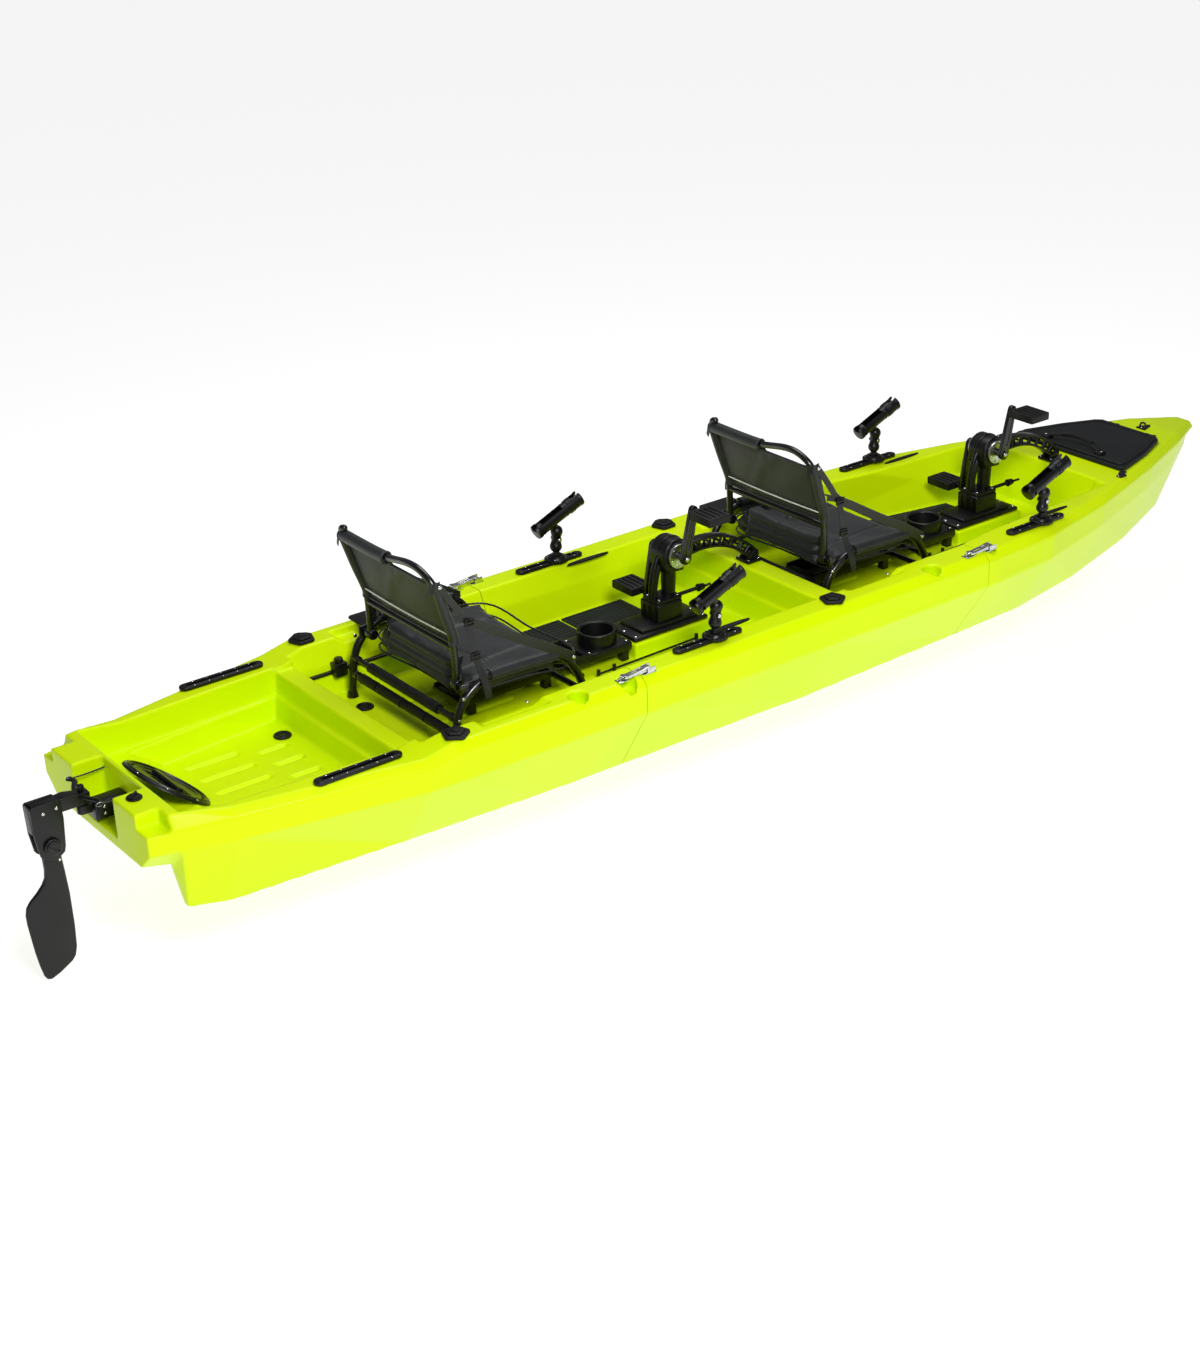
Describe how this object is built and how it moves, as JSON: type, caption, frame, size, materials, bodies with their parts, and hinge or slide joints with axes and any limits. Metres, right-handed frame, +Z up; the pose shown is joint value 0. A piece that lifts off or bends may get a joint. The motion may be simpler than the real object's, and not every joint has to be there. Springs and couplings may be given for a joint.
{
  "type": "tandem pedal kayak",
  "caption": "Rigid sit-on-top tandem kayak in latched hull sections, with folding seats, lift-out pedal drives, rod holders, tank well, hatches and kick-up rudder.",
  "frame": {"origin": "on the flat keel's bottom at mid-length, on the centre line", "axes": "+X towards the bow, +Y to port, +Z up"},
  "size_m": [4.159, 0.86, 0.8595],
  "materials": {
    "hull": "semi-gloss rotomoulded polyethylene",
    "black_plastic": "satin glass-filled nylon",
    "black_metal": "black powder-coated aluminium",
    "seat_tube": "glossy black coated aluminium tube",
    "seat_fabric": "woven charcoal polyester",
    "floor_foam": "ribbed EVA foam",
    "hatch_lid": "matt moulded lid",
    "rubber": "moulded rubber",
    "stainless": "polished stainless steel"
  },
  "bodies": {
    "hull": {"stern_hull": "hull", "middle_hull": "hull", "bow_hull": "hull", "tank_hatch_ring": "black_plastic", "drain_plug": "black_plastic", "stern_track_port": "black_plastic", "stern_track_stbd": "black_plastic", "rudder_bracket": "black_metal", "rear_seat_frame": "seat_tube", "rear_seat_cushion": "seat_fabric", "rear_tray": "black_plastic", "rear_floor_mat": "floor_foam", "rod_track_rear_port": "black_plastic", "deck_cap_rear_port": "rubber", "rod_track_rear_stbd": "black_plastic", "deck_cap_rear_stbd": "rubber", "front_seat_frame": "seat_tube", "front_seat_cushion": "seat_fabric", "front_tray": "black_plastic", "front_floor_mat": "floor_foam", "rod_track_front_port": "black_plastic", "deck_cap_front_port": "rubber", "rod_track_front_stbd": "black_plastic", "deck_cap_front_stbd": "rubber"},
    "hatch_cover": {"tank_hatch_cover": "black_plastic"},
    "rudder_head": {"rudder_head": "black_metal"},
    "rudder_blade": {"rudder_blade": "black_plastic"},
    "rudder_knob": {"rudder_knob": "black_metal"},
    "bow_lid": {"bow_hatch_lid": "hatch_lid", "bow_lid_handle": "rubber"},
    "latch_lever_aft_port": {"latch_lever_aft_port": "stainless"},
    "latch_lever_aft_stbd": {"latch_lever_aft_stbd": "stainless"},
    "rear_seat_back": {"rear_back_frame": "seat_tube", "rear_back_panel": "seat_fabric"},
    "rear_drive": {"rear_drive_housing": "black_plastic", "rear_drive_arch": "black_metal", "rear_drive_leg": "black_metal"},
    "rear_crank": {"rear_crank": "black_metal"},
    "rear_pedal_port": {"rear_pedal_port": "rubber"},
    "rear_pedal_stbd": {"rear_pedal_stbd": "rubber"},
    "rear_propeller": {"rear_propeller": "black_plastic"},
    "rod_arm_rear_port": {"rod_arm_rear_port": "black_plastic"},
    "rod_tube_rear_port": {"rod_tube_rear_port": "black_plastic"},
    "rod_arm_rear_stbd": {"rod_arm_rear_stbd": "black_plastic"},
    "rod_tube_rear_stbd": {"rod_tube_rear_stbd": "black_plastic"},
    "latch_lever_fwd_port": {"latch_lever_fwd_port": "stainless"},
    "latch_lever_fwd_stbd": {"latch_lever_fwd_stbd": "stainless"},
    "front_seat_back": {"front_back_frame": "seat_tube", "front_back_panel": "seat_fabric"},
    "front_drive": {"front_drive_housing": "black_plastic", "front_drive_arch": "black_metal", "front_drive_leg": "black_metal"},
    "front_crank": {"front_crank": "black_metal"},
    "front_pedal_port": {"front_pedal_port": "rubber"},
    "front_pedal_stbd": {"front_pedal_stbd": "rubber"},
    "front_propeller": {"front_propeller": "black_plastic"},
    "rod_arm_front_port": {"rod_arm_front_port": "black_plastic"},
    "rod_tube_front_port": {"rod_tube_front_port": "black_plastic"},
    "rod_arm_front_stbd": {"rod_arm_front_stbd": "black_plastic"},
    "rod_tube_front_stbd": {"rod_tube_front_stbd": "black_plastic"}
  },
  "joints": [
    {"name": "hatch_cover_turn", "type": "hinge", "parent": "hull", "child": "hatch_cover", "pos_m": [-1.8, 0, 0.225], "axis": [0.6, 0, 0.8], "range_deg": [0, 90]},
    {"name": "rudder_steer", "type": "hinge", "parent": "hull", "child": "rudder_head", "pos_m": [-2.02, 0, 0.276], "axis": [0, 0, 1], "range_deg": [-40, 40]},
    {"name": "rudder_kick", "type": "hinge", "parent": "rudder_head", "child": "rudder_blade", "pos_m": [-2.118, 0, 0.176], "axis": [0, 1, 0], "range_deg": [0, 100]},
    {"name": "rudder_knob_turn", "type": "hinge", "parent": "rudder_head", "child": "rudder_knob", "pos_m": [-2.118, -0.022, 0.176], "axis": [0, -1, 0], "range_deg": [0, 90]},
    {"name": "bow_lid_hinge", "type": "hinge", "parent": "hull", "child": "bow_lid", "pos_m": [1.7, 0, 0.306], "axis": [0, 1, 0], "range_deg": [0, 100]},
    {"name": "latch_aft_port", "type": "hinge", "parent": "hull", "child": "latch_lever_aft_port", "pos_m": [-0.606, 0.398, 0.311], "axis": [0, 1, 0], "range_deg": [0, 150]},
    {"name": "latch_aft_stbd", "type": "hinge", "parent": "hull", "child": "latch_lever_aft_stbd", "pos_m": [-0.606, -0.398, 0.311], "axis": [0, 1, 0], "range_deg": [0, 150]},
    {"name": "rear_back_fold", "type": "hinge", "parent": "hull", "child": "rear_seat_back", "pos_m": [-1.07, 0, 0.34], "axis": [0, 1, 0], "range_deg": [0, 75]},
    {"name": "rear_drive_lift", "type": "slide", "parent": "hull", "child": "rear_drive", "axis": [0, 0, 1], "range_m": [0, 0.4]},
    {"name": "rear_crank_spin", "type": "hinge", "parent": "rear_drive", "child": "rear_crank", "pos_m": [-0.215, 0, 0.405], "axis": [0, 1, 0], "continuous": true},
    {"name": "rear_pedal_port_spin", "type": "hinge", "parent": "rear_crank", "child": "rear_pedal_port", "pos_m": [-0.24649, 0.14, 0.26859], "axis": [0, 1, 0], "continuous": true},
    {"name": "rear_pedal_stbd_spin", "type": "hinge", "parent": "rear_crank", "child": "rear_pedal_stbd", "pos_m": [-0.18351, -0.14, 0.54141], "axis": [0, 1, 0], "continuous": true},
    {"name": "rear_propeller_spin", "type": "hinge", "parent": "rear_drive", "child": "rear_propeller", "pos_m": [-0.32, 0, -0.1], "axis": [1, 0, 0], "continuous": true},
    {"name": "rod_swivel_rear_port", "type": "hinge", "parent": "hull", "child": "rod_arm_rear_port", "pos_m": [-0.35, 0.36, 0.35], "axis": [0, 0, 1], "range_deg": [-180, 180]},
    {"name": "rod_tilt_rear_port", "type": "hinge", "parent": "rod_arm_rear_port", "child": "rod_tube_rear_port", "pos_m": [-0.345, 0.36, 0.395], "axis": [0, 1, 0], "range_deg": [-55, 40]},
    {"name": "rod_swivel_rear_stbd", "type": "hinge", "parent": "hull", "child": "rod_arm_rear_stbd", "pos_m": [-0.35, -0.36, 0.35], "axis": [0, 0, 1], "range_deg": [-180, 180]},
    {"name": "rod_tilt_rear_stbd", "type": "hinge", "parent": "rod_arm_rear_stbd", "child": "rod_tube_rear_stbd", "pos_m": [-0.345, -0.36, 0.395], "axis": [0, 1, 0], "range_deg": [-55, 40]},
    {"name": "latch_fwd_port", "type": "hinge", "parent": "hull", "child": "latch_lever_fwd_port", "pos_m": [0.64, 0.398, 0.311], "axis": [0, 1, 0], "range_deg": [0, 150]},
    {"name": "latch_fwd_stbd", "type": "hinge", "parent": "hull", "child": "latch_lever_fwd_stbd", "pos_m": [0.64, -0.398, 0.311], "axis": [0, 1, 0], "range_deg": [0, 150]},
    {"name": "front_back_fold", "type": "hinge", "parent": "hull", "child": "front_seat_back", "pos_m": [0.176, 0, 0.34], "axis": [0, 1, 0], "range_deg": [0, 75]},
    {"name": "front_drive_lift", "type": "slide", "parent": "hull", "child": "front_drive", "axis": [0, 0, 1], "range_m": [0, 0.4]},
    {"name": "front_crank_spin", "type": "hinge", "parent": "front_drive", "child": "front_crank", "pos_m": [1.031, 0, 0.405], "axis": [0, 1, 0], "continuous": true},
    {"name": "front_pedal_port_spin", "type": "hinge", "parent": "front_crank", "child": "front_pedal_port", "pos_m": [0.99951, 0.14, 0.26859], "axis": [0, 1, 0], "continuous": true},
    {"name": "front_pedal_stbd_spin", "type": "hinge", "parent": "front_crank", "child": "front_pedal_stbd", "pos_m": [1.06249, -0.14, 0.54141], "axis": [0, 1, 0], "continuous": true},
    {"name": "front_propeller_spin", "type": "hinge", "parent": "front_drive", "child": "front_propeller", "pos_m": [0.926, 0, -0.1], "axis": [1, 0, 0], "continuous": true},
    {"name": "rod_swivel_front_port", "type": "hinge", "parent": "hull", "child": "rod_arm_front_port", "pos_m": [0.896, 0.36, 0.35], "axis": [0, 0, 1], "range_deg": [-180, 180]},
    {"name": "rod_tilt_front_port", "type": "hinge", "parent": "rod_arm_front_port", "child": "rod_tube_front_port", "pos_m": [0.901, 0.36, 0.395], "axis": [0, 1, 0], "range_deg": [-55, 40]},
    {"name": "rod_swivel_front_stbd", "type": "hinge", "parent": "hull", "child": "rod_arm_front_stbd", "pos_m": [0.896, -0.36, 0.35], "axis": [0, 0, 1], "range_deg": [-180, 180]},
    {"name": "rod_tilt_front_stbd", "type": "hinge", "parent": "rod_arm_front_stbd", "child": "rod_tube_front_stbd", "pos_m": [0.901, -0.36, 0.395], "axis": [0, 1, 0], "range_deg": [-55, 40]}
  ],
  "couplings": [
    {"joint": "rear_propeller_spin", "follows": "rear_crank_spin", "ratio": 10},
    {"joint": "front_propeller_spin", "follows": "front_crank_spin", "ratio": 10}
  ]
}
